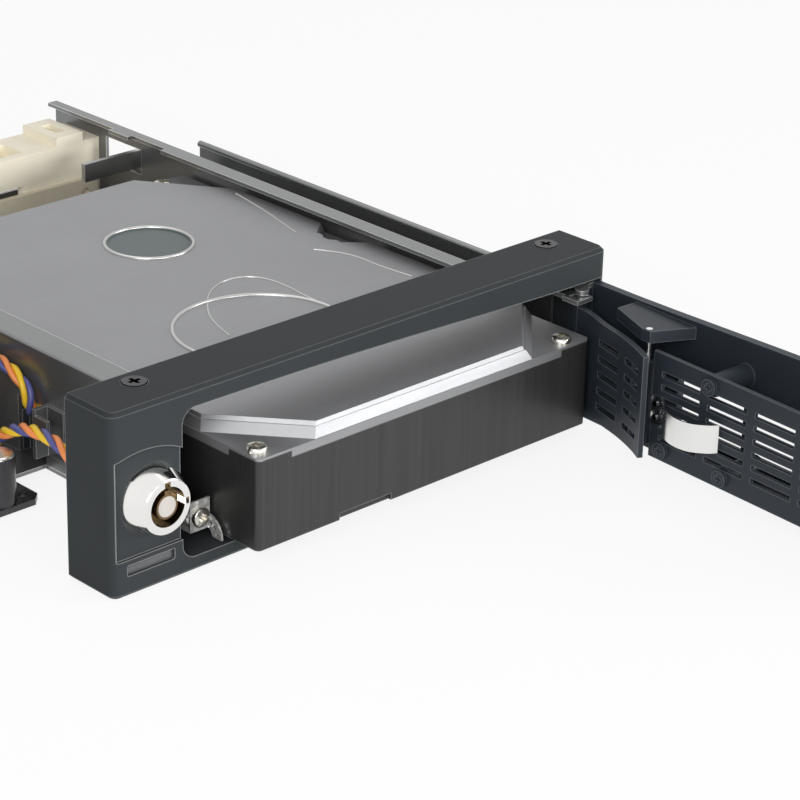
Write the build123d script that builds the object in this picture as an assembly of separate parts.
from build123d import *
from math import cos, radians, sin
import os

# Mobile rack for a 3.5 inch hard drive, made to fill one 5.25 inch bay.
# X runs across the rack, Y runs back into the bay, Z is up, all in millimetres.
# The origin is on the middle of the bezel's back plane, level with its bottom.
# The rack is drawn as it stands with its door open and the drive drawn partly out.

# Driving sizes across the rack: lock column, fingers, drive, hinge and hinge column
lock_column_width = 18.85
finger_room = 12.6
drive_width = 101.6
hinge_room = 13.6
hinge_column_width = 1.85

# Driving sizes up the rack
mouth_sill = 3.6
sheet = 1.0
running_gap = 0.3
drive_height = 24.6
lintel_room = 5.7
lintel_thickness = 7.3

# Other fits
pin_gap = 0.05
slide_gap = 0.08

# Bezel
bezel_depth = 15.0
bezel_corner_radius = 2.5
bezel_edge_bevel = 0.9
bezel_wall = 2.5
bezel_overhang = 1.25
mouth_corner_radius = 3.5
lintel_left_rise = 3.0
lintel_middle_rise = 2.0
lintel_middle_x = 6.0
mouth_side_wall = 1.2
panel_recess = 0.8
panel_below_lock = 11.6
panel_above_lock = 11.0
panel_arc_rise = 2.4
panel_slope = 1.4
top_screw_left = 14.75
top_screw_right = 10.25
top_screw_y = -4.5
top_screw_length = 5.0
top_screw_hole = 1.35
top_screw_sink = 2.9
top_screw_sink_depth = 1.0

# Lock and status light
lock_side = 11.25
lock_z = 20.2
lock_cone_radius = 8.35
lock_face_radius = 6.15
lock_cone_length = 5.2
lock_barrel_radius = 5.6
lock_bore_radius = 4.5
lock_post_radius = 2.8
lock_tail_radius = 2.0
lock_keyway_depth = 9.0
lock_notch_width = 1.5
lock_notch_depth = 2.4
lock_nut_flats = 12.4
lock_nut_thickness = 3.0
cam_length = 12.5
cam_width = 6.0
cam_thickness = 1.5
cam_y = -6.0
light_side = 10.25
light_width = 12.6
light_height = 2.4
light_flange = 0.4
light_lift = 3.6
light_board_thickness = 1.2
light_board_gap = 0.3

# Drive
drive_length = 147.0
casting_height = 21.0
drive_front = -24.4
drive_corner_radius = 1.2
cover_lip = 0.5
cover_foot_inset = 0.2
cover_bevel_inset = 1.3
cover_band_inset = 1.5
cover_top_inset = 1.9
cover_band_height = 0.9
cover_left_run = 16.0
cover_left_back = 18.7
cover_right_run = 18.8
cover_right_back = 18.2
skirt_thickness = 0.5
skirt_drop = 1.5
skirt_end = 9.5
middle_screw_y = 81.3
middle_screw_bay = 9.0
cover_screw_room = 3.1
disc_radius = 11.0
disc_side = 7.1
disc_back = 107.0
ring_side = -7.8
ring_back = 47.9
ring_radius = 20.5
ring_width = 0.7
ring_depth = 0.25
drive_board_thickness = 1.6
drive_board_inset = 6.0
drive_board_front = 22.0
casting_notch_left = 27.3
casting_notch_right = 12.0
connector_width = 42.0
connector_depth = 6.0
connector_height = 6.4
connector_x = -12.0
connector_z = 1.4

# Chassis sheet
chassis_margin = 5.2
side_length = 131.0
side_lip_radius = 0.9
side_drop = 2.5
wing_front = 40.0
left_rail_room = 7.0
right_rail_room = 2.4
rail_rise = 3.0
left_flange = 7.2
right_flange = 5.2
flange_notch = 1.6
flange_notch_front = 128.0
flange_notch_end = 142.0
flange_back_cut = 150.0
window_front = 39.5
window_length = 10.0
window_height = 14.2
back_window_before_board = 40.2
back_window_length = 32.0
back_window_sill = 5.0
floor_slot_spread = 31.0
floor_slot_width = 26.0
floor_slot_length = 16.0
floor_slot_first = 28.0
floor_slot_pitch = 34.0
floor_slot_rows = 3
side_hole_radius = 1.6
side_hole_low = 10.0
side_hole_rise = 11.84
side_hole_front = 47.4
side_hole_span = 79.25
guide_height = 10.0
guide_front = 5.0
guide_length = 140.0
clip_front = -9.4
clip_sheet = 0.5
clip_low = 1.0
clip_height = 7.2
clip_reach = 5.4
clip_seat = 4.5
clip_screw_side = 2.5
clip_screw_rise = 4.3
clip_hook_radius = 5.0
clip_hook_width = 3.2

# Rear carrier and its board
socket_depth = 6.4
carrier_depth = 15.0
carrier_height = 25.0
carrier_wall = 2.4
carrier_beam = 6.5
carrier_post_rise = 2.5
carrier_post_width = 9.0
carrier_left_post = 1.5
carrier_right_post = 14.5
board_thickness = 1.6
board_height = 12.0
socket_reach = 5.2
socket_thickness = 1.4
port_width = 11.0
port_height = 6.5
port_depth = 7.0
power_port_width = 21.0

# Control board under the left wing
control_board_room = 0.6
control_board_width = 14.4
control_board_front = 31.6
control_board_length = 60.0
control_board_bottom = 0.6
control_board_thickness = 1.5
capacitor_radius = 3.9
capacitor_height = 12.0
capacitor_side = 5.4
capacitor_back = 4.0
header_side = 10.45
header_width = 5.5
header_front = 52.0
header_length = 10.0
header_height = 7.0
header_wall = 1.2
cable_radius = 1.5
cable_end_gap = 0.35

# Door, drawn closed and then turned about its hinge
door_open_angle = 86.7
hinge_side = 3.4
hinge_back = 3.0
hinge_pin_radius = 1.25
hinge_pin_depth = 2.2
knuckle_radius = 2.9
door_gap = 0.6
door_skin = 2.0
door_rim = 1.8
door_rim_depth = 9.5
vent_side = 2.8
vent_length = 20.5
vent_pitch = 22.0
vent_height = 2.2
vent_drop = 7.2
vent_columns = 3
vent_rows = 4
grille_face_y = -1.5
grille_thickness = 1.0
grille_sill = 1.4
grille_drop = 3.6
grille_hinge_room = 34.8
grille_end_room = 17.4
slot_length = 11.8
slot_pitch = 14.2
slot_height = 1.35
slot_rise = 3.15
slot_side = 2.8
slot_drop = 5.6
slot_end_room = 3.0
hinge_grille_thickness = 1.3
hinge_grille_lift = 1.2
hinge_grille_cut = 4.4
hinge_grille_overlap = 1.8
hinge_web = 1.6
hinge_slot_height = 1.5
hinge_slot_rise = 4.0
hinge_slot_rows = 5
spring_side = 0.4
spring_lift = 8.6
spring_height = 6.8
spring_foot = 2.8
spring_thickness = 0.4
spring_bow = 5.4
spring_length = 21.0
spring_room = 0.5
rivet_radius = 0.7
rivet_head = 0.4
rivet_shank = 0.4
pin_side = 4.4
pin_back = 2.5
grille_pin_radius = 0.75
grille_pin_low = 16.0
bracket_height = 2.9
bracket_reach = 13.4
post_radius = 2.6
door_screw_radius = 2.0
door_screw_head = 0.9
door_screw_shank = 0.9
crank_radius = 6.0
crank_pin_radius = 1.0
crank_thickness = 1.1
crank_mid_angle = 180.0

# Ejector
ejector_travel = 8.24
slider_gap = 0.3
slider_thickness = 1.5
slider_bottom = 12.0
slider_height = 10.0
slider_front = 2.0
slider_overlap = 6.1
slot_clearance = 0.35
tab_thickness = 1.1
pusher_height = 5.0
pusher_thickness = 1.5
pusher_reach = 15.8

# Values worked out from the sizes above
mouth_width = finger_room + drive_width + hinge_room
bezel_width = lock_column_width + mouth_width + hinge_column_width
half_bezel = bezel_width / 2
mouth_left = -half_bezel + lock_column_width
mouth_right = half_bezel - hinge_column_width
bay_width = bezel_width - 2 * bezel_overhang
half_bay = bay_width / 2
floor_z = mouth_sill
floor_top = floor_z + sheet
drive_x = mouth_left + finger_room + drive_width / 2
drive_bottom = floor_top + running_gap
drive_left = drive_x - drive_width / 2
drive_right = drive_x + drive_width / 2
drive_back = drive_front + drive_length
casting_top = drive_bottom + casting_height
cover_lip_top = casting_top + cover_lip
drive_top = drive_bottom + drive_height
lintel_right = drive_top + lintel_room
lintel_middle = lintel_right + lintel_middle_rise
lintel_left = lintel_right + lintel_left_rise
bezel_height = lintel_right + lintel_thickness
rail_top = drive_top + rail_rise
side_height = rail_top - side_drop
left_rail_x = drive_left - left_rail_room
right_rail_x = drive_right + right_rail_room
lock_x = -half_bezel + lock_side
light_x = -half_bezel + light_side
light_z = bezel_wall + light_lift
panel_face = -bezel_depth + panel_recess
panel_bottom = lock_z - panel_below_lock
panel_top = lock_z + panel_above_lock
front_wall_back = -bezel_depth + bezel_wall
lock_face = panel_face - lock_cone_length
hinge_x = mouth_right - hinge_side
hinge_y = -bezel_depth + hinge_back
door_left = mouth_left + door_gap + mouth_side_wall
door_top = lintel_right - door_gap
barrel_top = door_top - crank_thickness
crank_closed_angle = crank_mid_angle - door_open_angle / 2
grille_back_y = grille_face_y - grille_thickness
grille_bottom = mouth_sill + grille_sill
grille_top = door_top - grille_drop
grille_right = hinge_x - grille_hinge_room
grille_left = mouth_left + grille_end_room
slot_first_x = grille_right - slot_side
slot_top_z = grille_top - slot_drop
slot_columns = int((slot_first_x - grille_left - slot_length) / slot_pitch) + 1
slot_rows = int((slot_top_z - grille_bottom - slot_end_room) / slot_rise) + 1
spring_bottom = grille_bottom + spring_lift
spring_top = spring_bottom + spring_height
pin_x = grille_right + pin_side
pin_y = grille_face_y - pin_back
pin_bottom = grille_bottom + grille_pin_low
pin_top = grille_top + running_gap + bracket_height
drive_closed_front = grille_face_y + spring_thickness + spring_bow + spring_room
drive_travel = drive_closed_front - drive_front
rear_rest_y = drive_back + drive_travel
board_front = rear_rest_y + socket_depth
carrier_front = board_front + board_thickness
chassis_length = carrier_front + carrier_depth + chassis_margin
control_board_left = -half_bay + sheet + control_board_room
control_board_right = control_board_left + control_board_width
header_x = left_rail_x - header_side
slider_x = right_rail_x + slider_gap
pusher_left = drive_right - pusher_reach
pusher_bottom = slider_bottom + slider_height
pusher_front = rear_rest_y - ejector_travel + running_gap
slider_back = pusher_front + slider_overlap


def block(x0, x1, y0, y1, z0, z1):
    """A box between two corners."""
    centre = ((x0 + x1) / 2, (y0 + y1) / 2, (z0 + z1) / 2)
    return Pos(*centre) * Box(abs(x1 - x0), abs(y1 - y0), abs(z1 - z0))


def rod_x(x0, x1, y, z, radius):
    return Pos((x0 + x1) / 2, y, z) * Rot(0, 90, 0) * Cylinder(radius, abs(x1 - x0))


def rod_y(x, y0, y1, z, radius):
    return Pos(x, (y0 + y1) / 2, z) * Rot(90, 0, 0) * Cylinder(radius, abs(y1 - y0))


def rod_z(x, y, z0, z1, radius):
    return Pos(x, y, (z0 + z1) / 2) * Cylinder(radius, abs(z1 - z0))


def standing_sheet(outline, z0, z1):
    """A closed outline in the XY plane, raised from z0 to z1."""
    face = make_face(outline)
    return Pos(0, 0, z0) * extrude(face, z1 - z0)


def bent_strip(points, directions, thickness, z0, z1):
    """A strip of even thickness along a smooth line in plan, with a direction at each end."""
    line = Spline(*points, tangents=directions)
    left = offset_points(line, thickness / 2)
    right = offset_points(line, -thickness / 2)
    side_a = Spline(*left, tangents=directions)
    side_b = Spline(*right, tangents=directions)
    ends = [Line(side_a @ 0, side_b @ 0), Line(side_a @ 1, side_b @ 1)]
    wall = make_face([side_a, side_b] + ends)
    return Pos(0, 0, z0) * extrude(wall, z1 - z0)


def offset_points(line, distance):
    steps = 8
    points = []
    for i in range(steps + 1):
        t = i / steps
        points.append(line @ t + (line % t).rotate(Axis.Z, 90) * distance)
    return points


def swing(part):
    """Turn a closed door piece to its open place about the hinge."""
    return Pos(hinge_x, hinge_y, 0) * Rot(0, 0, door_open_angle) * Pos(-hinge_x, -hinge_y, 0) * part


def lintel_curve(drop):
    """The mouth's upper edge, lowered by a clearance, as a smooth line in XZ."""
    return Spline(
        (mouth_left, 0, lintel_left - drop),
        (lintel_middle_x, 0, lintel_middle - drop),
        (mouth_right, 0, lintel_right - drop),
        tangents=[(1, 0, 0), (1, 0, 0)],
    )


def upright_profile(x0, x1, z0, drop, y0, y1):
    """A plate between x0 and x1 whose top follows the mouth's upper edge."""
    top = lintel_curve(drop)
    sides = Polyline(top @ 1, (mouth_right, 0, z0), (mouth_left, 0, z0), top @ 0)
    plate = extrude(make_face([top, sides]), amount=y1 - y0, dir=(0, 1, 0))
    plate = Pos(0, y0, 0) * plate
    return plate & block(x0, x1, y0, y1, z0, bezel_height)


def screw(x, y, z, direction, head_radius, head_height, shank_radius, shank_length):
    """A pan head screw whose head sits on the point and stands out along direction."""
    head = Pos(0, 0, head_height / 2) * Cylinder(head_radius, head_height)
    shank = Pos(0, 0, -shank_length / 2) * Cylinder(shank_radius, shank_length)
    recess = Pos(0, 0, head_height) * Box(head_radius * 1.1, head_radius * 0.35, head_height)
    recess += Rot(0, 0, 90) * recess
    plane = Plane((x, y, z), z_dir=direction)
    return plane * (head + shank - recess)


def make_bezel_frame():
    body = block(-half_bezel, half_bezel, -bezel_depth, 0, 0, bezel_height)
    uprights = body.edges().filter_by(Axis.Z).group_by(Axis.Y)[0]
    body = fillet(uprights, bezel_corner_radius)
    rails = body.edges().filter_by(Axis.X).group_by(Axis.Y)[0]
    body = chamfer(rails, bezel_edge_bevel)
    body -= make_mouth()
    body -= make_lock_pocket()
    body -= make_panel_recess()
    body -= rod_y(lock_x, -bezel_depth, 0, lock_z, lock_barrel_radius + slide_gap)
    body -= make_light_hole()
    body -= make_cam_gate()
    body -= rod_z(hinge_x, hinge_y, mouth_sill - hinge_pin_depth, bezel_height - 2.0,
                  hinge_pin_radius + pin_gap)
    for x in top_screw_places():
        body -= rod_z(x, top_screw_y, lintel_right, bezel_height, top_screw_hole)
        body -= rod_z(x, top_screw_y, bezel_height - top_screw_sink_depth, bezel_height,
                      top_screw_sink)
    return body


def top_screw_places():
    return -half_bezel + top_screw_left, half_bezel - top_screw_right


def make_mouth():
    """The opening that the drive and door go into, right through the frame."""
    mouth = upright_profile(mouth_left, mouth_right, mouth_sill, 0, -bezel_depth - 1, 1)
    corners = mouth.edges().filter_by(Axis.Y).group_by(Axis.X)[0]
    return fillet(corners, mouth_corner_radius)


def make_lock_pocket():
    """The hollow behind the lock panel, open at the back."""
    left = -half_bezel + bezel_wall
    right = mouth_left - mouth_side_wall
    return block(left, right, front_wall_back, 0, bezel_wall, bezel_height - bezel_wall)


def make_panel_recess():
    """The shallow lock panel with its arched top, sunk into the front face."""
    left = -half_bezel + bezel_edge_bevel + 0.4
    right = mouth_left + 0.2
    foot = Polyline((left, 0, panel_top), (left, 0, panel_bottom), (right, 0, panel_bottom),
                    (right, 0, panel_top - panel_slope))
    arch = ThreePointArc((left, 0, panel_top),
                         ((left + right) / 2 - 1.0, 0, panel_top + panel_arc_rise / 2),
                         (right, 0, panel_top - panel_slope))
    face = make_face([foot, arch])
    sunk = extrude(face, amount=panel_recess, dir=(0, 1, 0))
    return Pos(0, -bezel_depth, 0) * sunk


def make_light_hole():
    x0 = light_x - light_width / 2
    x1 = light_x + light_width / 2
    z0 = light_z - light_height / 2
    z1 = light_z + light_height / 2
    return block(x0, x1, -bezel_depth, 0, z0, z1)


def make_cam_gate():
    """The slot in the mouth's left wall that the lock's cam turns through."""
    y0 = cam_y - 0.6
    y1 = cam_y + cam_thickness + 0.6
    z0 = lock_z - cam_width / 2 - 0.6
    return block(mouth_left - mouth_side_wall - 0.1, mouth_left + 0.1, y0, y1, z0, z0 + 14.6)


def make_bezel_screws():
    group = []
    seat = bezel_height - top_screw_sink_depth
    for x in top_screw_places():
        group.append(screw(x, top_screw_y, seat, (0, 0, 1), 2.7, 1.2, 1.3, top_screw_length))
    return Compound(children=group)


def make_lock_body():
    cone = Pos(lock_x, (panel_face + lock_face) / 2, lock_z) * Rot(90, 0, 0) * Cone(
        lock_cone_radius, lock_face_radius, lock_cone_length)
    barrel = rod_y(lock_x, panel_face, cam_y - running_gap, lock_z, lock_barrel_radius)
    bore = rod_y(lock_x, lock_face - 1, 1, lock_z, lock_bore_radius)
    body = cone + barrel - bore
    reach = lock_bore_radius + 1.1
    half = lock_notch_width / 2
    notch_end = lock_face + lock_notch_depth
    body -= block(lock_x - half, lock_x + half, lock_face, notch_end, lock_z, lock_z + reach)
    body -= block(lock_x, lock_x + reach, lock_face, notch_end,
                  lock_z - half, lock_z + half)
    rim = body.edges().filter_by(GeomType.CIRCLE).group_by(Axis.Y)[0].sort_by(SortBy.LENGTH)[-1]
    return fillet(rim, 0.4)


def make_lock_nut():
    outer_radius = lock_nut_flats / 2 / cos(radians(30))
    face = Plane.XZ * RegularPolygon(outer_radius, 6, rotation=30)
    nut = extrude(face, amount=lock_nut_thickness, dir=(0, 1, 0))
    nut = Pos(lock_x, front_wall_back, lock_z) * nut
    return nut - rod_y(lock_x, -bezel_depth, 1, lock_z, lock_barrel_radius + slide_gap)


def make_lock_core():
    keyway_end = lock_face + lock_keyway_depth
    post = rod_y(lock_x, lock_face + 0.3, keyway_end, lock_z, lock_post_radius)
    plug = rod_y(lock_x, keyway_end, cam_y, lock_z, lock_bore_radius - slide_gap)
    tail = rod_y(lock_x, cam_y, cam_y + cam_thickness + 0.1, lock_z, lock_tail_radius)
    key_tab = block(lock_x - 0.6, lock_x + 0.6, lock_face + 0.3, keyway_end,
                    lock_z + lock_post_radius - 0.4, lock_z + lock_post_radius + 0.8)
    core = post + plug + tail + key_tab
    return core - rod_y(lock_x, cam_y - 4.0, 0, lock_z, 1.0)


def make_lock_cam():
    """The flat cam on the lock's tail: it points up when unlocked."""
    plate = block(lock_x - cam_width / 2, lock_x + cam_width / 2, cam_y, cam_y + cam_thickness,
                  lock_z, lock_z + cam_length - cam_width / 2)
    y1 = cam_y + cam_thickness
    plate += rod_y(lock_x, cam_y, y1, lock_z, cam_width / 2 + 1.0)
    plate += rod_y(lock_x, cam_y, y1, lock_z + cam_length - cam_width / 2, cam_width / 2)
    return plate - rod_y(lock_x, -bezel_depth, 1, lock_z, lock_tail_radius)


def make_cam_screw():
    seat = cam_y + cam_thickness + 0.1
    return screw(lock_x, seat, lock_z, (0, 1, 0), 2.9, 1.3, 1.0, 4.0)


def make_light_window():
    """The smoked window of the status light, let into the front wall."""
    x0 = light_x - light_width / 2
    x1 = light_x + light_width / 2
    z0 = light_z - light_height / 2
    z1 = light_z + light_height / 2
    pane = block(x0, x1, -bezel_depth + 0.7, front_wall_back, z0, z1)
    flange = block(x0 - light_flange, x1 + light_flange, front_wall_back, front_wall_back + 0.8,
                   z0 - light_flange, z1 + light_flange)
    return pane + flange


def make_light_board():
    y0 = front_wall_back + 0.8 + light_board_gap
    y1 = y0 + light_board_thickness
    board = block(light_x - 6.6, light_x + 6.2, y0, y1, bezel_wall, bezel_wall + 8.0)
    for x in (light_x - 3.6, light_x + 3.0):
        board += block(x - 1.2, x + 1.2, y0 - light_board_gap, y0, light_z - 0.8, light_z + 0.8)
    return board


def make_chassis():
    """The folded outer sheet: raised floor, left wing, right channel and both bay walls."""
    floor = block(left_rail_x, right_rail_x, 0, chassis_length, floor_z, floor_top)
    wing = block(-half_bay, left_rail_x, wing_front, side_length, floor_z, floor_top)
    left_wall = block(-half_bay, -half_bay + sheet, wing_front, side_length, 0, side_height)
    step = block(right_rail_x, right_rail_x + sheet, 0, side_length, 0, floor_top)
    channel = block(right_rail_x, half_bay, 0, side_length, 0, sheet)
    right_wall = block(half_bay - sheet, half_bay, 0, side_length, 0, side_height)
    lip = rod_y(half_bay - side_lip_radius, 0, side_length, side_height, side_lip_radius)
    left_lip = rod_y(-half_bay + side_lip_radius, wing_front, side_length, side_height,
                     side_lip_radius)
    back = block(left_rail_x, right_rail_x, chassis_length - sheet, chassis_length,
                 floor_z, floor_z + 6.0)
    tray = floor + wing + left_wall + step + channel + right_wall + lip + left_lip + back
    for y in (side_hole_front, side_hole_front + side_hole_span):
        for z in (side_hole_low, side_hole_low + side_hole_rise):
            tray -= rod_x(-half_bay - 1, half_bay + 1, y, z, side_hole_radius)
    for x in (drive_x - floor_slot_spread, drive_x + floor_slot_spread - floor_slot_width):
        for i in range(floor_slot_rows):
            y = floor_slot_first + i * floor_slot_pitch
            tray -= block(x, x + floor_slot_width, y, y + floor_slot_length, floor_z, floor_top)
    return tray


def make_left_rail():
    """The cage's left wall with its inward top flange and the cable window."""
    z0 = floor_top
    wall = block(left_rail_x, left_rail_x + sheet, 0, chassis_length - sheet, z0, rail_top)
    flange = block(left_rail_x, left_rail_x + left_flange, 0, chassis_length - sheet,
                   rail_top - sheet, rail_top)
    foot = block(left_rail_x + sheet, left_rail_x + sheet + 3.0, 1.0, guide_front - 0.5, z0,
                 z0 + sheet)
    ear = block(mouth_left - sheet, left_rail_x, 0, sheet, z0 + 2.0, lock_z + 1.8)
    rail = wall + flange + foot + ear
    outer = rail.edges().filter_by(Axis.Y).group_by(Axis.Z)[-1].sort_by(Axis.X)[0]
    rail = fillet(outer, sheet * 0.8)
    window_top = z0 + window_height
    x0 = left_rail_x - 1
    x1 = left_rail_x + sheet + 0.1
    rail -= block(x0, x1, window_front, window_front + window_length, z0, window_top)
    y0 = board_front - back_window_before_board
    return rail - block(x0, x1, y0, y0 + back_window_length, z0 + back_window_sill,
                        window_top + 6.0)


def make_right_rail():
    """The cage's right wall: its top flange is notched near the back."""
    z0 = floor_top
    wall = block(right_rail_x - sheet, right_rail_x, 0, chassis_length - sheet, z0, rail_top)
    flange = block(right_rail_x - right_flange, right_rail_x, 0, chassis_length - sheet,
                   rail_top - sheet, rail_top)
    rail = wall + flange
    outer = rail.edges().filter_by(Axis.Y).group_by(Axis.Z)[-1].sort_by(Axis.X)[-1]
    rail = fillet(outer, sheet * 0.8)
    edge = right_rail_x - right_flange
    for y0, y1 in ((flange_notch_front, flange_notch_end), (flange_back_cut, chassis_length)):
        rail -= block(edge, edge + flange_notch, y0, y1, rail_top - sheet, rail_top)
    gate_top = pusher_bottom + pusher_height + 1.0
    rail -= block(right_rail_x - sheet, right_rail_x, pusher_front - 2.5,
                  pusher_front + ejector_travel + 4.5, pusher_bottom - 1.0, gate_top)
    return rail


def make_drive_guide():
    """The plastic guide that fills the gap between the left wall and the drive."""
    x0 = left_rail_x + sheet
    x1 = drive_left - running_gap
    z0 = floor_top
    y1 = guide_front + guide_length
    guide = block(x0, x1, guide_front, y1, z0, z0 + guide_height)
    lead = guide.edges().filter_by(Axis.Z).group_by(Axis.Y)[0].sort_by(Axis.X)[-1]
    guide = chamfer(lead, 2.5)
    window_end = window_front + window_length
    guide -= block(x0, x0 + 2.0, window_front, window_end, z0, z0 + guide_height)
    return guide


def make_ground_clip():
    """The perforated earthing strip: a flag beside the drive that ends in a curved hook."""
    x0 = left_rail_x + sheet
    x1 = x0 + clip_reach
    low = floor_top + clip_low
    high = low + clip_height
    foot = block(x0, x0 + clip_sheet, clip_front, clip_seat, low, high)
    flag = block(x0, x1, clip_front, clip_front + clip_sheet, low, high)
    hook_y = clip_front + clip_sheet
    hook_z = mouth_sill + running_gap
    hook = rod_x(x1 - clip_sheet, x1, hook_y, hook_z, clip_hook_radius)
    hook -= rod_x(x1 - clip_sheet, x1, hook_y, hook_z, clip_hook_radius - clip_hook_width)
    hook &= block(x1 - clip_sheet, x1, hook_y - clip_hook_radius, hook_y, hook_z,
                  hook_z + clip_hook_radius)
    middle = clip_hook_radius - clip_hook_width / 2
    for turn in (15, 40, 65):
        y = hook_y - middle * cos(radians(turn))
        z = hook_z + middle * sin(radians(turn))
        hook -= rod_x(x1 - clip_sheet, x1, y, z, 0.5)
    x, z = clip_screw_place()
    return foot + flag + hook - rod_y(x, clip_front - 1, clip_front + 1, z, 1.0)


def clip_screw_place():
    return left_rail_x + sheet + clip_screw_side, floor_top + clip_screw_rise


def make_clip_screw():
    x, z = clip_screw_place()
    return screw(x, clip_front, z, (0, -1, 0), 2.3, 1.2, 1.0, 1.6)


def make_cable_clip():
    """The bent tab and hook beside the cable window."""
    x0 = left_rail_x - 4.2
    tab = block(x0, left_rail_x, window_front - 1.8, window_front - 0.8, 8.0, 20.0)
    hook = block(x0, x0 + 0.8, window_front - 6.0, window_front - 1.8, 14.0, 18.5)
    base = block(left_rail_x - 0.8, left_rail_x, window_front - 7.5, window_front - 1.8, 8.0, 20.0)
    return tab + hook + base


def make_rear_carrier():
    """The cream moulding that holds the rear board, with slots, posts and end blocks."""
    x0 = left_rail_x + sheet
    x1 = right_rail_x - sheet
    z0 = floor_top
    y0 = carrier_front
    y1 = y0 + carrier_depth
    top = z0 + carrier_height
    beam_top = top - carrier_post_rise
    beam = block(x0, x1, y0, y1, beam_top - carrier_beam, beam_top)
    beam += block(x0, x1, y0, y0 + carrier_wall, z0, beam_top)
    beam -= block(x0 + 12.0, x1 - 26.0, y0 - 1, y0 + carrier_wall + 1, z0 + 9.0, top - 11.0)
    beam -= block(x0 + 8.0, x1 - 24.0, y0 + carrier_wall, y1 - 4.0, top - 6.0, top)
    beam -= block(drive_x - 30.4, drive_x + 13.4, y0 - 1, y0 + port_depth, z0, z0 + 8.6)
    for x in (x0 + carrier_left_post, x1 - carrier_right_post):
        post = block(x, x + carrier_post_width, y0, y1, z0, top)
        post -= block(x + 3.0, x + 6.0, y0 + 4.0, y1 - 4.0, top - 6.0, top + 1)
        beam += post
    beam += block(x1 - 5.5, x1, y0, y1 - 2.0, z0, top - 5.0)
    beam -= block(x1 - 4.2, x1 - 1.4, y0 - 1, y0 + 5.0, top - 12.0, top - 9.0)
    return beam


def make_rear_board():
    x0 = left_rail_x + sheet + 2.0
    x1 = right_rail_x - sheet - 2.0
    y1 = carrier_front
    board = block(x0, x1, board_front, y1, floor_top, floor_top + board_height)
    for x in (x0 + 4.0, x1 - 4.0):
        board -= rod_y(x, board_front, y1, floor_top + board_height - 4.0, 1.3)
    return board


def connector_span():
    centre = drive_x + connector_x
    return centre - connector_width / 2, centre + connector_width / 2


def make_drive_socket():
    """The blade socket on the rear board that the drive slides onto."""
    x0, x1 = connector_span()
    y1 = board_front
    y0 = rear_rest_y - socket_reach
    z = drive_bottom + connector_z + connector_height / 2
    half = connector_height / 2 - 0.9
    body = block(x0 - 1.5, x1 + 1.5, rear_rest_y + 0.6, y1, z - half - 0.8, z + half + 0.8)
    blade_z = z - socket_thickness / 2
    body += block(x0 + 1.2, x0 + 16.0, y0, y1, blade_z, blade_z + socket_thickness)
    body += block(x0 + 18.4, x1 - 1.2, y0, y1, blade_z, blade_z + socket_thickness)
    return body


def make_port(x, width, z):
    """An open-backed plug shell on the back of the rear board."""
    y0 = carrier_front
    y1 = y0 + port_depth
    shell = block(x - width / 2, x + width / 2, y0, y1, z, z + port_height)
    hollow = block(x - width / 2 + 1.2, x + width / 2 - 1.2, y0 + 1.6, y1, z + 1.2,
                   z + port_height - 1.2)
    tongue = block(x - width / 2 + 2.4, x + width / 2 - 2.4, y0 + 1.6, y1 - 1.0,
                   z + port_height / 2 - 0.5, z + port_height / 2 + 0.5)
    return shell - hollow + tongue


def make_drive_casting():
    body = block(drive_left, drive_right, drive_front, drive_back, drive_bottom, casting_top)
    body = fillet(body.edges().filter_by(Axis.Z), drive_corner_radius)
    inset = drive_board_inset
    body -= block(drive_left + inset, drive_right - inset, drive_front + drive_board_front,
                  drive_back, drive_bottom, drive_bottom + 2.2)
    for x in (drive_left, drive_right):
        for y in (drive_front + 44.5, drive_front + 104.2, drive_front + 135.6):
            body -= rod_x(x - 4.0, x + 4.0, y, drive_bottom + 6.35, 1.5)
    x0, x1 = connector_span()
    z0 = drive_bottom + connector_z
    body -= block(x0 - 2.0, x1 + 2.0, drive_back - 8.0, drive_back, z0 - connector_z,
                  z0 + connector_height + 0.6)
    body -= block(drive_x - casting_notch_left, drive_x - casting_notch_right, drive_front,
                  drive_front + 0.8, drive_bottom, drive_bottom + 1.6)
    for strip in cover_skirt():
        body -= strip
    return body


def cover_outline(inset, z):
    """The cover's raised part in plan: cut front corners and a bay for each middle screw."""
    x0 = drive_left + inset
    x1 = drive_right - inset
    y0 = drive_front + inset
    y1 = drive_back - inset
    middle = drive_front + middle_screw_y
    bay = middle_screw_bay
    plan = Polyline((x0 + cover_left_run, y0), (x1 - cover_right_run, y0),
                    (x1, y0 + cover_right_back), (x1, middle - bay),
                    (x1 - bay * 0.6, middle - bay * 0.5), (x1 - bay * 0.6, middle + bay * 0.5),
                    (x1, middle + bay), (x1, y1 - 22.0), (x1 - 16.0, y1), (x0 + 24.0, y1),
                    (x0 + 12.0, y1 - 8.0), (x0, y1 - 20.0), (x0, y0 + cover_left_back),
                    close=True)
    return Pos(0, 0, z) * make_face(plan)


def cover_skirt():
    """The turned down edges of the lid, flush with the casting between its corners."""
    z0 = casting_top - skirt_drop
    x0 = drive_left + skirt_end
    x1 = drive_right - skirt_end
    y0 = drive_front + skirt_end
    y1 = drive_back - skirt_end
    t = skirt_thickness
    return [block(x0, x1, drive_front, drive_front + t, z0, casting_top),
            block(x0, x1, drive_back - t, drive_back, z0, casting_top),
            block(drive_left, drive_left + t, y0, y1, z0, casting_top),
            block(drive_right - t, drive_right, y0, y1, z0, casting_top)]


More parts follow.
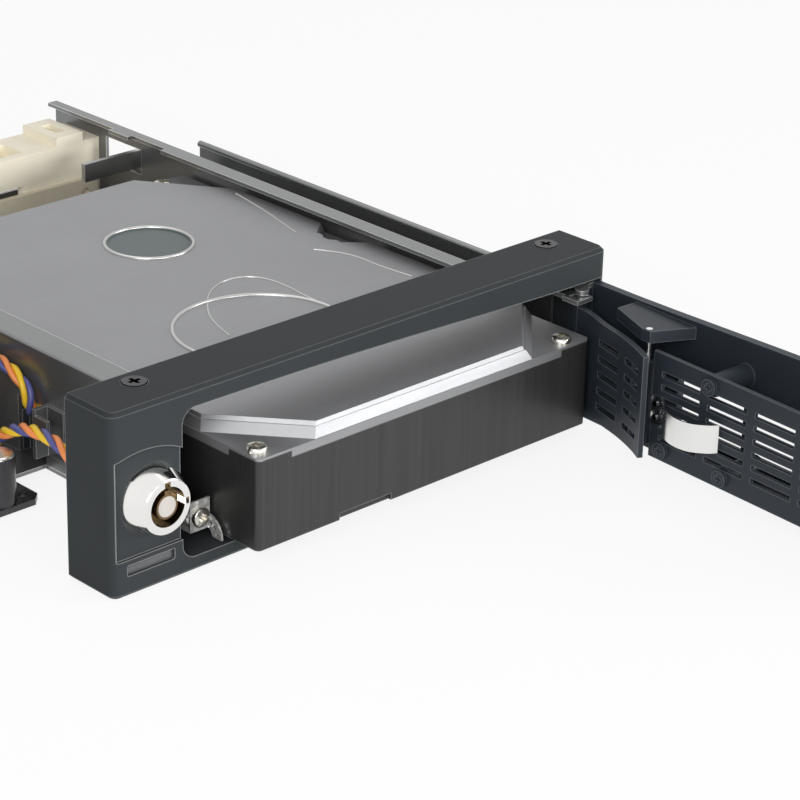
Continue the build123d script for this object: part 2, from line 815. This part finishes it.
def make_drive_cover():
    """The stamped lid: a flat lip over the casting, a bright bevel and a flat top."""
    lip = block(drive_left, drive_right, drive_front, drive_back, casting_top, cover_lip_top)
    lid = fillet(lip.edges().filter_by(Axis.Z), drive_corner_radius)
    band_z = drive_top - cover_band_height
    lid += loft([cover_outline(cover_foot_inset, cover_lip_top),
                 cover_outline(cover_bevel_inset, band_z)], ruled=True)
    lid += loft([cover_outline(cover_band_inset, band_z),
                 cover_outline(cover_top_inset, drive_top)], ruled=True)
    for strip in cover_skirt():
        lid += strip
    x = drive_x + disc_side
    y = drive_front + disc_back
    lid -= rod_z(x, y, drive_top - 0.5, drive_top, disc_radius)
    x = drive_x + ring_side
    y = drive_front + ring_back
    groove = rod_z(x, y, drive_top - ring_depth, drive_top, ring_radius + ring_width / 2)
    groove -= rod_z(x, y, drive_top - ring_depth, drive_top, ring_radius - ring_width / 2)
    lid -= groove
    for x, y in cover_screw_places():
        lid -= rod_z(x, y, cover_lip_top, drive_top, cover_screw_room)
        lid -= rod_z(x, y, casting_top, cover_lip_top, 1.1)
    return lid


def cover_screw_places():
    return [(drive_left + 2.9, drive_front + 3.8), (drive_right - 6.6, drive_front + 2.9),
            (drive_right - 5.3, drive_front + middle_screw_y),
            (drive_right - 9.6, drive_back - 3.6), (drive_left + 9.6, drive_back - 3.6)]


def make_cover_screws():
    group = []
    for x, y in cover_screw_places():
        group.append(screw(x, y, cover_lip_top, (0, 0, 1), 2.4, 1.4, 1.0, cover_lip))
    return Compound(children=group)


def make_cover_disc():
    """The small round seal set into the cover."""
    x = drive_x + disc_side
    y = drive_front + disc_back
    radius = disc_radius - 0.1
    disc = rod_z(x, y, drive_top - 0.5, drive_top - 0.2, radius)
    rim = rod_z(x, y, drive_top - 0.2, drive_top, radius)
    return disc + rim - rod_z(x, y, drive_top - 0.2, drive_top, radius - 0.8)


def make_drive_board():
    inset = drive_board_inset + 0.4
    z0 = drive_bottom + 0.5
    board = block(drive_left + inset, drive_right - inset, drive_front + drive_board_front + 0.4,
                  drive_back - 8.4, z0, z0 + drive_board_thickness)
    for x, y, sx, sy in ((-16.0, 60.0, 14.0, 14.0), (14.0, 88.0, 10.0, 16.0)):
        board -= block(drive_x + x, drive_x + x + sx, drive_front + y, drive_front + y + sy,
                       z0, z0 + 0.4)
    return board


def make_drive_connector():
    x0, x1 = connector_span()
    z0 = drive_bottom + connector_z
    z1 = z0 + connector_height
    body = block(x0 - 1.8, x1 + 1.8, drive_back - 7.8, drive_back - 0.2, z0 - 0.8, z1)
    slot_z = (z0 + z1) / 2
    for a, b in ((x0 + 0.8, x0 + 16.4), (x0 + 18.0, x1 - 0.8)):
        body -= block(a, b, drive_back - connector_depth, drive_back, slot_z - 1.4, slot_z + 1.4)
    return body


def make_control_board():
    z0 = control_board_bottom
    z1 = z0 + control_board_thickness
    y0 = control_board_front
    board = block(control_board_left, control_board_right, y0, y0 + control_board_length, z0, z1)
    corner = board.edges().filter_by(Axis.Z).group_by(Axis.Y)[0].sort_by(Axis.X)[-1]
    board = chamfer(corner, 2.0)
    board -= rod_z(control_board_right - 3.0, y0 + 3.4, z0, z1, 1.1)
    for x in (control_board_left + 2.6, control_board_right - 2.6):
        for y in (wing_front + 4.0, y0 + control_board_length - 5.0):
            board += rod_z(x, y, z1, floor_z, 1.6)
    return board


def make_capacitor():
    z0 = control_board_bottom + control_board_thickness
    x = control_board_left + capacitor_side
    y = control_board_front + capacitor_back
    can = rod_z(x, y, z0, z0 + capacitor_height, capacitor_radius)
    rim = can.edges().group_by(Axis.Z)[-1]
    return fillet(rim, 0.7)


def make_wire_header():
    x0 = header_x - header_width / 2
    x1 = header_x + header_width / 2
    y1 = header_front + header_length
    top = floor_top + header_height
    body = block(x0, x1, header_front, y1, floor_top, top)
    return body - block(x0 + header_wall, x1 - header_wall, header_front + header_wall,
                        y1 - header_wall, floor_top + 1.5, top)


def wire_tube(points, radii):
    """A held cable: straight runs joined by tangent arcs, swept with a round section."""
    path = FilletPolyline(*points, radius=radii)
    start = Plane(origin=path @ 0, z_dir=path % 0)
    return sweep(start * Circle(cable_radius), path=path)


def make_light_cable():
    """The cable from the header forward to the light board behind the bezel."""
    board_back = front_wall_back + 0.8 + light_board_gap + light_board_thickness
    x = light_x
    start = header_front - 0.2
    points = [(header_x, start, 9.5), (header_x - 0.2, start - 5.4, 9.9),
              (x + 2.8, start - 11.4, 15.6), (x + 2.4, start - 20.8, 20.4),
              (x + 2.0, 20.0, 21.4), (x + 1.4, 11.0, 18.6), (x + 0.2, 4.0, 12.4),
              (x - 0.5, -3.0, 8.4), (x - 0.5, board_back + cable_end_gap, 7.4)]
    return wire_tube(points, [5.0, 8.0, 12.0, 14.0, 10.0, 9.0, 6.0])


def make_side_cable():
    """The cable that runs along the left wall and in through its window to the rear board."""
    outside = left_rail_x - 2.5
    inside = left_rail_x + 3.9
    back = header_front + header_length + 0.2
    gate = window_front + 3.4
    points = [(header_x, back, 9.5), (header_x + 0.1, back + 6.4, 9.9),
              (header_x + 1.0, back + 13.0, 15.2), (header_x + 3.2, back + 14.6, 22.0),
              (outside - 1.4, back + 9.0, 26.4), (outside + 0.1, back - 2.0, 27.6),
              (outside, gate + 12.0, 27.0), (outside + 0.2, gate + 4.6, 25.6),
              (outside + 0.5, gate, 22.4), (outside + 0.7, gate, 16.9),
              (inside - 0.3, gate + 2.8, 16.7), (inside, gate + 11.0, 16.8)]
    start = gate + 11.0
    reach = carrier_front - board_thickness - cable_end_gap - start
    for share, x, z in ((0.12, inside + 0.1, 17.0), (0.3, inside, 16.9), (0.5, inside + 0.2, 17.2),
                        (0.7, inside, 17.0), (0.88, inside - 0.1, 16.7), (1.0, inside, 14.4)):
        points.append((x, start + share * reach, z))
    radii = [5.0, 6.0, 5.0, 5.0, 9.0, 20.0, 9.0, 4.0, 2.6, 3.6, 9.0, 20.0, 30.0, 30.0, 30.0, 20.0]
    return wire_tube(points, radii)


def door_profile(drop, x0, x1, y0, y1):
    return upright_profile(x0, x1, mouth_sill + door_gap, drop + door_gap, y0, y1)


def make_door_shell():
    """The door's outer skin with its low rim, hinge barrel, screw posts and pin bracket."""
    front = -bezel_depth
    skin_back = front + door_skin
    rim_back = front + door_rim_depth
    rim_end = hinge_x - crank_radius - crank_pin_radius - 2.0
    shell = door_profile(0, door_left, hinge_x, front, skin_back)
    rim = door_profile(0, door_left, rim_end, front, rim_back)
    shell += rim - block(door_left + door_rim, rim_end + 1, skin_back, rim_back + 1,
                         mouth_sill + door_gap + door_rim, bezel_height)
    barrel = rod_z(hinge_x, hinge_y, mouth_sill + door_gap, barrel_top, knuckle_radius)
    shell -= rod_z(hinge_x, hinge_y, barrel_top, bezel_height, knuckle_radius)
    shell += barrel
    shell += make_pin_bracket(skin_back)
    for x, z in door_screw_places():
        shell += rod_y(x, skin_back, grille_back_y, z, post_radius)
        shell -= rod_y(x, grille_back_y - door_screw_shank, grille_back_y, z, 1.0)
    shell -= rod_z(hinge_x, hinge_y, 0, bezel_height, hinge_pin_radius + pin_gap)
    shell -= rod_z(pin_x, pin_y, pin_bottom, pin_top, grille_pin_radius)
    for vent in door_vents():
        shell -= vent
    gate = block(door_left - 1, door_left + door_rim + 0.5, cam_y - 0.6, 0,
                 lock_z - cam_width / 2 - 1.0, lock_z + cam_length + 1.0)
    clip_room = block(door_left - 1, left_rail_x + sheet + clip_reach + 1.5, front + 1.0, 0, 0,
                      floor_top + clip_low + clip_height + 1.0)
    return shell - gate - clip_room


def door_vents():
    """The rows of air slots through the door's skin."""
    vents = []
    for column in range(vent_columns):
        x1 = grille_right + vent_side - column * vent_pitch
        for row in range(vent_rows):
            z = slot_top_z - vent_drop - row * slot_rise
            vents.append(block(x1 - vent_length, x1, -bezel_depth - 1,
                               -bezel_depth + door_skin, z, z + vent_height))
    return vents


def make_pin_bracket(skin_back):
    """The wedge inside the door that holds the top of the grille pin."""
    tip = pin_y + grille_pin_radius + 0.4
    plan = Polyline((pin_x + bracket_reach, skin_back), (pin_x + bracket_reach, hinge_y + 5.0),
                    (pin_x + 1.4, tip), (pin_x - 1.4, tip), (pin_x - 6.0, skin_back), close=True)
    return standing_sheet(plan, pin_top - bracket_height, pin_top)


def door_screw_places():
    low = grille_bottom + 2.6
    high = grille_top - 2.9
    return [(grille_right - 4.0, low), (grille_right - 22.6, low), (grille_left + 12.2, low),
            (grille_right - 17.6, high), (grille_left + 12.2, high)]


def make_door_grille():
    plate = block(grille_left, grille_right, grille_back_y, grille_face_y, grille_bottom, grille_top)
    for column in range(slot_columns):
        x1 = slot_first_x - column * slot_pitch
        for row in range(slot_rows):
            z = slot_top_z - row * slot_rise
            plate -= block(x1 - slot_length, x1, grille_back_y, grille_face_y, z, z + slot_height)
    for x, z in door_screw_places():
        plate -= rod_y(x, grille_back_y, grille_face_y, z, 1.05)
    for x, z in spring_rivet_places():
        plate -= rod_y(x, grille_back_y, grille_face_y, z, rivet_shank + pin_gap)
    return plate


def make_hinge_grille():
    """The curved grille from beside the hinge to the flat grille, with a web to the pin's barrel."""
    bottom = grille_bottom + hinge_grille_lift
    web_y = hinge_y + 12.2
    line = [(hinge_x - 5.4, hinge_y + 5.9), (hinge_x - 9.0, hinge_y + 6.2),
            (hinge_x - 12.4, hinge_y + 7.15), (hinge_x - 16.5, hinge_y + 8.5),
            (hinge_x - 20.5, hinge_y + 9.4), (hinge_x - 25.5, hinge_y + 10.6), (pin_x, web_y),
            (grille_right - hinge_grille_overlap, hinge_y + 15.0)]
    plate = bent_strip(line, [(-1, 0.02), (-1, 0.5)], hinge_grille_thickness, bottom, grille_top)
    for x1, length in ((hinge_x - 15.6, 8.4), (hinge_x - 27.0, 6.8)):
        for row in range(hinge_slot_rows):
            z = grille_top - slot_drop - row * hinge_slot_rise
            plate -= block(x1 - length, x1, hinge_y, web_y + 8.0, z, z + hinge_slot_height)
    barrel_top = grille_top - hinge_grille_cut
    plate += block(pin_x - hinge_web / 2, pin_x + hinge_web / 2, pin_y, web_y, bottom, barrel_top)
    plate += rod_z(pin_x, pin_y, bottom, barrel_top, grille_pin_radius + 0.9)
    plate -= rod_z(pin_x, pin_y, pin_bottom, barrel_top, grille_pin_radius)
    return plate


def make_grille_pin():
    return rod_z(pin_x, pin_y, pin_bottom, pin_top, grille_pin_radius)


def make_leaf_spring():
    """The bowed steel leaf that presses on the drive when the door is shut."""
    root = grille_face_y + spring_thickness / 2
    start = grille_right - spring_side
    bend = start - spring_foot
    end = start - spring_length
    line = [(bend, root), (bend - 3.2, root + spring_bow * 0.42), (bend - 7.4, root + spring_bow * 0.9),
            (bend - 10.8, root + spring_bow), (bend - 14.2, root + spring_bow * 0.84),
            (end, root + 0.3)]
    leaf = bent_strip(line, [(-1, 0.1), (-0.5, -1)], spring_thickness, spring_bottom, spring_top)
    leaf += block(bend, start, grille_face_y, grille_face_y + spring_thickness, spring_bottom,
                  spring_top)
    for x, z in spring_rivet_places():
        leaf -= rod_y(x, grille_face_y, grille_face_y + spring_thickness, z,
                      rivet_shank + pin_gap)
    return leaf


def spring_rivet_places():
    x = grille_right - spring_side - spring_foot / 2
    return [(x, spring_bottom + 1.7), (x, spring_top - 1.7)]


def make_spring_rivets():
    group = []
    face = grille_face_y + spring_thickness
    for x, z in spring_rivet_places():
        head = rod_y(x, face, face + rivet_head, z, rivet_radius)
        group.append(head + rod_y(x, grille_back_y, face, z, rivet_shank))
    return Compound(children=group)


def make_door_screws():
    group = []
    for x, z in door_screw_places():
        group.append(screw(x, grille_face_y, z, (0, 1, 0), door_screw_radius, door_screw_head,
                           1.0, grille_thickness + door_screw_shank))
    return Compound(children=group)


def make_hinge_pins():
    low = rod_z(hinge_x, hinge_y, mouth_sill - hinge_pin_depth + 0.2, 9.0, hinge_pin_radius)
    high = rod_z(hinge_x, hinge_y, door_top - 5.0, bezel_height - 2.3, hinge_pin_radius)
    return Compound(children=[low, high])


def make_door_catch():
    """The striker at the door's free end: the lock's cam turns in behind it."""
    x0 = door_left + door_rim
    y1 = cam_y - running_gap
    plate = block(x0, x0 + 6.0, y1 - 1.2, y1, lock_z - 6.0, lock_z + 6.0)
    return plate + block(x0, x0 + 1.2, -bezel_depth + door_skin, y1 - 1.2, lock_z - 6.0,
                         lock_z + 6.0)


def crank_pin_place():
    angle = radians(crank_closed_angle)
    return hinge_x + crank_radius * cos(angle), hinge_y + crank_radius * sin(angle)


def make_door_crank():
    """The small crank on the hinge barrel whose pin works the ejector slide."""
    x, y = crank_pin_place()
    z0 = barrel_top
    z1 = door_top
    arm = rod_z(hinge_x, hinge_y, z0, z1, knuckle_radius)
    arm += rod_z(x, y, z0, z1, crank_pin_radius + 0.6)
    length = crank_radius
    bar = block(0, length, -1.6, 1.6, z0, z1)
    arm += Pos(hinge_x, hinge_y, 0) * Rot(0, 0, crank_closed_angle) * bar
    arm -= rod_z(hinge_x, hinge_y, z0 - 1, z1 + 1, hinge_pin_radius + pin_gap)
    return arm + rod_z(x, y, z0 - 2.2, z0, crank_pin_radius)


def make_side_slider():
    """The ejector's long slide in the right channel, with a slotted front tab."""
    x0 = slider_x
    x1 = x0 + slider_thickness
    z0 = slider_bottom
    z1 = z0 + slider_height
    bar = block(x0, x1, slider_front, slider_back, z0, z1)
    tab_top = barrel_top - running_gap
    tab_bottom = tab_top - tab_thickness
    riser = block(x0, x1, slider_front, slider_front + 10.0, z1, tab_top)
    open_angle = radians(crank_closed_angle + door_open_angle)
    pin_at_rest = hinge_y + crank_radius * sin(open_angle)
    slot_half = crank_pin_radius + slot_clearance
    tab_left = hinge_x - crank_radius - crank_pin_radius - slot_clearance - tab_thickness
    tab_right = hinge_x - knuckle_radius - 0.5
    tab = block(tab_left, tab_right, pin_at_rest - slot_half - tab_thickness,
                pin_at_rest + slot_half + tab_thickness, tab_bottom, tab_top)
    neck = block(x0, tab_right - 1.2, pin_at_rest + slot_half, slider_front + 1.0, tab_bottom,
                 tab_top)
    slide = bar + riser + tab + neck
    return slide - block(tab_left + tab_thickness, tab_right + 1, pin_at_rest - slot_half,
                         pin_at_rest + slot_half, tab_bottom - 1, tab_top + 1)


def make_pusher_arm():
    """The flat steel arm that reaches in behind the drive and pushes it forward."""
    z0 = pusher_bottom
    z1 = z0 + pusher_height
    y0 = pusher_front
    outside = slider_x + slider_thickness
    blade = block(pusher_left, outside, y0, y0 + pusher_thickness, z0, z1)
    ear = block(outside, outside + pusher_thickness, y0 - 12.0, y0 + pusher_thickness,
                slider_bottom + 2.0, z1)
    return blade + ear


def make_slider_rivets():
    group = []
    for y in (pusher_front - 3.0, pusher_front - 8.5):
        z = pusher_bottom - 4.0
        x = slider_x + slider_thickness + pusher_thickness
        group.append(rod_x(x, x + 0.5, y, z, 1.2))
    return Compound(children=group)


door_makers = {
    "door_shell": make_door_shell,
    "door_grille": make_door_grille,
    "hinge_grille": make_hinge_grille,
    "grille_pin": make_grille_pin,
    "leaf_spring": make_leaf_spring,
    "spring_rivets": make_spring_rivets,
    "door_screws": make_door_screws,
    "hinge_pins": make_hinge_pins,
    "door_catch": make_door_catch,
    "door_crank": make_door_crank,
}

fixed_makers = {
    "bezel_frame": make_bezel_frame,
    "bezel_screws": make_bezel_screws,
    "lock_body": make_lock_body,
    "lock_nut": make_lock_nut,
    "lock_core": make_lock_core,
    "lock_cam": make_lock_cam,
    "cam_screw": make_cam_screw,
    "light_window": make_light_window,
    "light_board": make_light_board,
    "chassis": make_chassis,
    "left_rail": make_left_rail,
    "right_rail": make_right_rail,
    "drive_guide": make_drive_guide,
    "ground_clip": make_ground_clip,
    "clip_screw": make_clip_screw,
    "cable_clip": make_cable_clip,
    "rear_carrier": make_rear_carrier,
    "rear_board": make_rear_board,
    "drive_socket": make_drive_socket,
    "data_port": lambda: make_port(drive_x - 24.0, port_width, floor_top + 1.0),
    "power_port": lambda: make_port(drive_x + 2.0, power_port_width, floor_top + 1.0),
    "control_board": make_control_board,
    "capacitor": make_capacitor,
    "wire_header": make_wire_header,
    "light_cable": make_light_cable,
    "side_cable": make_side_cable,
    "drive_casting": make_drive_casting,
    "drive_cover": make_drive_cover,
    "cover_screws": make_cover_screws,
    "cover_disc": make_cover_disc,
    "drive_board": make_drive_board,
    "drive_connector": make_drive_connector,
    "side_slider": make_side_slider,
    "pusher_arm": make_pusher_arm,
    "slider_rivets": make_slider_rivets,
}

os.makedirs("parts", exist_ok=True)
for name, maker in fixed_makers.items():
    export_step(maker(), "parts/" + name + ".step")
for name, maker in door_makers.items():
    export_step(swing(maker()), "parts/" + name + ".step")
